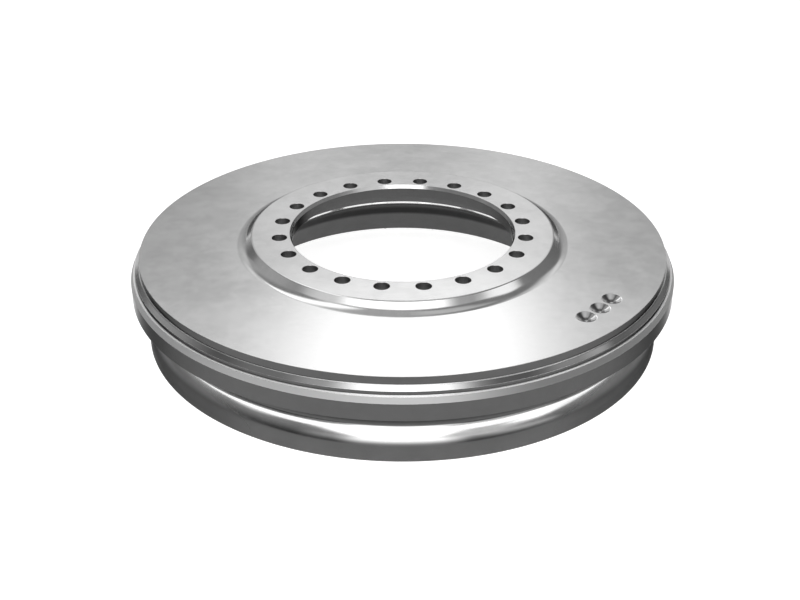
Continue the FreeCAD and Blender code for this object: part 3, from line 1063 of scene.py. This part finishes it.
def drilled_material():
    """Metal cut by a drill, with a painted reflection on its cone: painted dark wedge shapes, and painted
    highlights near its lip and where it faces straight up, as at its tip.

    A wedge is told by how far to a side the cone faces, as a share of how far it leans.
    """
    finish = settings().finish
    tree, shader = new_material(FINISHES[DRILLED])
    across, _, up = normal_axes(tree)
    height = axes_of(output_of(tree, "TexCoord", "Object"))["Z"]
    slant = maths("SQRT", maths("SUBTRACT", 1.0, times(up, up)))
    side = maths("ABSOLUTE", maths("DIVIDE", across, larger(slant, SMALLEST)))
    # Painted reflection: dark where the cone faces partly to a side, painted highlight elsewhere near the
    # lip and where it faces straight up.
    wedges = larger(ranged(side, WEDGE_MIDDLE, 1.0, 0.0), ranged(side, WEDGE_SIDES))
    shallow = times(wedges, ranged(height, SPOT_DEPTH))
    bright = larger(shallow, ranged(up, SPOT_TIP))
    feed(shader, Base_Color=mixed_colour(bright, finish.wedges, finish.turned), Metallic=1.0,
         Roughness=finish.turned_roughness)


def cast_material(name, cast, shaded, blotches):
    """Grey aluminium as it left the mould and the blasting, with a fine grain.

    High up in the cavity its colour goes over to the darker painted shade and, under the vault's roof,
    most of the way back. The bolt holes get less painted shade and are lighter again. For the
    cavity, both of its colours are painted shade.
    """
    finish = settings().finish
    tree, shader = new_material(name)
    place = output_of(tree, "TexCoord", "Object")
    height = axes_of(place)["Z"]
    tone = place_group(blotches, place, Strength=finish.blotches)["Tone"]
    # Painted shade high in the cavity, most of it taken back under the vault's roof.
    level = larger(ranged(height, VAULT_SHADE, 1.0, 0.0),
                   ranged(height, VAULT_ROOF, 0.0, finish.vault))
    # Less painted shade in the bolt holes, above the flange's underside.
    tone = times(tone, ranged(height, HOLE_FOOT, 1.0, finish.hole_walls))
    grain = noise(place, 900.0, 3.0, 0.6)
    feed(shader, Base_Color=scaled_colour(mixed_colour(level, shaded, cast), tone),
         Metallic=1.0, Roughness=finish.cast_roughness,
         Normal=output_of(tree, "Bump", "Normal", Height=grain, Strength=0.5, Distance=0.1 * MM))


def materials():
    """The finishes of the casting, made once."""
    finish = settings().finish
    if FINISHES[0] not in bpy.data.materials:
        blotches, turning = blotches_group(), turning_group()
        turned_material(FINISHES[TURNED], blotches, turning, False)
        turned_material(FINISHES[STEP], blotches, turning, True)
        chamfer_material()
        drilled_material()
        ledge_material()
        cast_material(FINISHES[BLASTED], finish.cast, finish.cast, blotches)
        # The cavity's own colour and its darker colour are painted shade.
        cast_material(FINISHES[CAVITY], finish.cavity, finish.shaded, blotches)
    return [bpy.data.materials[name] for name in FINISHES]


class TURBINE_OT_casting(bpy.types.Operator):
    """Make the body of the casting: the flange, boss, plate, rim, shell and cavity"""
    bl_idname = "turbine.casting"
    bl_label = "Casting"

    def execute(self, context):
        casting_surface().piece("turbine_body")
        return {"FINISHED"}


class TURBINE_OT_core(bpy.types.Operator):
    """Make the core ring that the oil turns round"""
    bl_idname = "turbine.core"
    bl_label = "Core Ring"

    def execute(self, context):
        points, normals, _, _ = rounded_section(core_corners())
        surface = Surface()
        surface.add(*wheel(points, normals, even_turns(COLUMNS)[:-1]), finish=BLASTED)
        surface.piece("core_ring")
        return {"FINISHED"}


class TURBINE_OT_vanes(bpy.types.Operator):
    """Make the bent vanes between the shell and the core ring"""
    bl_idname = "turbine.vanes"
    bl_label = "Vanes"

    def execute(self, context):
        tie(vane_mesh(), [materials()[BLASTED]])
        return {"FINISHED"}


# The studio's soft lights as (side, across from, across to, along from, along to, softness,
# strength). On the ceiling across is to the right and along is away from the camera, and on the
# two walls along is up. The numbers are slopes: distances over the distance to that side.
LIGHTS = (
    ("ceiling", -0.62, 0.44, -2.10, -0.31, 0.12, 1.40),
    ("behind", -0.40, 0.40, -0.02, 0.50, 0.15, 2.00),
    ("behind", -0.85, 0.85, 0.05, 0.60, 0.20, 0.30),
    ("behind", 0.80, 2.30, 0.05, 0.60, 0.25, 0.65),
    ("ceiling", -0.56, -0.28, -0.12, 1.10, 0.06, 1.10),
    ("ceiling", -0.75, -0.10, 0.95, 1.60, 0.12, 0.35),
    ("ceiling", -1.35, -0.60, -0.45, -0.05, 0.15, 0.50),
    ("ceiling", 0.85, 1.45, -0.75, 0.28, 0.10, 0.85),
    ("ceiling", 0.45, 1.50, -2.20, -0.30, 0.25, 0.35),
    ("ceiling", -0.28, 0.15, -0.20, 1.20, 0.12, 0.20),
    ("ceiling", -0.13, 0.20, 1.28, 1.82, 0.12, 0.92),
    ("ceiling", 0.30, 1.00, 0.95, 1.70, 0.15, 0.40),
    ("ahead", -0.75, 0.60, -0.20, 0.75, 0.12, 0.30),
    ("ahead", 0.03, 0.17, 0.20, 0.80, 0.06, 0.38),
    ("ahead", -0.15, 0.00, 0.20, 0.80, 0.06, 0.30),
    ("ceiling", 0.10, 0.40, -0.02, 0.62, 0.10, 0.30),
    ("ceiling", -3.00, -0.95, 0.10, 2.40, 0.40, 0.17),
)
LIGHT_VALUES = ("Across From", "Across To", "Along From", "Along To", "Softness", "Strength")


def light_group():
    """A soft rectangle of light on a ceiling or wall that is one away from the middle.

    The direction comes as across, along and depth. Across and along are divided by the depth,
    and each side of the rectangle is a soft step over that.
    """
    tree, given, result = group("soft_light", LIGHT_VALUES, ["Light"])
    across, along, depth = axes_of(given["Vector"])
    light = times(given["Strength"], maths("GREATER_THAN", depth, SMALLEST))
    for axis, ends in ((across, LIGHT_VALUES[0:2]), (along, LIGHT_VALUES[2:4])):
        slope = maths("DIVIDE", axis, larger(depth, SMALLEST))
        for end, rising in zip(ends, (1.0, -1.0)):
            beyond = times(maths("SUBTRACT", slope, given[end]), rising)
            step = ranged(maths("DIVIDE", beyond, given["Softness"]), (-1.0, 1.0))
            light = times(light, step)
    put(result["Light"], light)
    return tree


def studio_world():
    """A dim even dome with the soft lights on its ceiling and on its two walls."""
    world = bpy.data.worlds.new("studio_dome")
    world.use_nodes = True
    tree = world.node_tree
    right, ahead, up = axes_of(output_of(tree, "TexCoord", "Generated"))
    sides = {"ceiling": (right, ahead, up), "ahead": (right, up, ahead),
             "behind": (right, up, times(ahead, -1.0))}
    vectors = {side: output_of(tree, "CombineXYZ", "Vector", **dict(zip("XYZ", axes)))
               for side, axes in sides.items()}
    shared = light_group()
    total = settings().studio.dome
    for side, *values in LIGHTS:
        light = place_group(shared, vectors[side], **dict(zip(LIGHT_VALUES, values)))["Light"]
        total = maths("ADD", light, total)
    feed(tree.nodes["Background"], Color=WHITE, Strength=total)
    bpy.context.scene.world = world


def floor_material():
    """White floor: its colour keeps the shadow, and part of its white is its own light.

    The floor's own light shows to the camera, to glossy rays and to transmitted rays alike.
    """
    tree, shader = new_material("white_floor")
    path = tree.nodes.new("ShaderNodeLightPath").outputs
    seen = maths("ADD", path["Is Camera Ray"], path["Is Glossy Ray"])
    seen = maths("ADD", seen, path["Is Transmission Ray"])
    feed(shader, Base_Color=(0.8, 0.8, 0.8, 1.0), Roughness=1.0, Specular_IOR_Level=0.0,
         Emission_Color=WHITE, Emission_Strength=times(seen, settings().studio.floor_glow))
    return bpy.data.materials["white_floor"]


class TURBINE_OT_stage(bpy.types.Operator):
    """Make the floor, the light and the camera"""
    bl_idname = "turbine.stage"
    bl_label = "Stage"

    def execute(self, context):
        studio = settings().studio
        corners = np.array([(-1, -1, 0), (1, -1, 0), (1, 1, 0), (-1, 1, 0)]) * studio.floor
        mesh = bpy.data.meshes.new("floor")
        mesh.from_pydata(corners, [], [(0, 1, 2, 3)])
        mesh.materials.append(floor_material())
        floor = bpy.data.objects.new("floor", mesh)
        context.scene.collection.objects.link(floor)
        studio_world()
        camera = bpy.data.objects.new("camera", bpy.data.cameras.new("camera"))
        camera.data.lens = studio.lens
        camera.location = studio.camera
        camera.rotation_euler = Euler((studio.tilt, 0.0, 0.0))
        context.scene.collection.objects.link(camera)
        context.scene.camera = camera
        context.scene.view_settings.view_transform = "Standard"
        return {"FINISHED"}


class TurbineSettings(bpy.types.PropertyGroup):
    """All sizes and colours of the turbine and its studio."""
    hub: PointerProperty(type=HubSizes, name="Hub", description="Flange, bore and boss")
    rim: PointerProperty(type=RimSizes, name="Rim", description="Plate, rim steps and neck")
    spots: PointerProperty(type=SpotSizes, name="Spots", description="Balancing spots")
    flow: PointerProperty(type=FlowSizes, name="Flow Side", description="Shell, passage and core ring")
    vanes: PointerProperty(type=VaneSizes, name="Vanes", description="Bent vanes")
    finish: PointerProperty(type=FinishSizes, name="Finish", description="Colours of the metal")
    studio: PointerProperty(type=StudioSizes, name="Studio", description="Camera and light")


STEPS = (TURBINE_OT_casting, TURBINE_OT_core, TURBINE_OT_vanes, TURBINE_OT_stage)


class TURBINE_PT_sidebar(bpy.types.Panel):
    """The turbine's sizes and the buttons that make its pieces"""
    bl_idname = "TURBINE_PT_sidebar"
    bl_label = "Torque Converter Turbine"
    bl_space_type = "VIEW_3D"
    bl_region_type = "UI"
    bl_category = "Turbine"

    def draw(self, context):
        for part in TurbineSettings.__annotations__:
            sizes = getattr(context.scene.turbine, part)
            box = self.layout.box()
            box.label(text=TurbineSettings.bl_rna.properties[part].name)
            for name in sizes.__annotations__:
                box.prop(sizes, name)
        for step in STEPS:
            self.layout.operator(step.bl_idname)


CLASSES = (HubSizes, RimSizes, SpotSizes, FlowSizes, VaneSizes, FinishSizes, StudioSizes,
           TurbineSettings, *STEPS, TURBINE_PT_sidebar)


def register():
    """Add the classes to Blender and the settings to the scene."""
    for made in CLASSES:
        bpy.utils.register_class(made)
    bpy.types.Scene.turbine = PointerProperty(type=TurbineSettings)


def unregister():
    """Take the settings and the classes away again."""
    del bpy.types.Scene.turbine
    for made in reversed(CLASSES):
        bpy.utils.unregister_class(made)


def main():
    """Make every piece in order."""
    register()
    bpy.ops.turbine.casting()
    bpy.ops.turbine.core()
    bpy.ops.turbine.vanes()
    bpy.ops.turbine.stage()


if __name__ == "__main__":
    main()
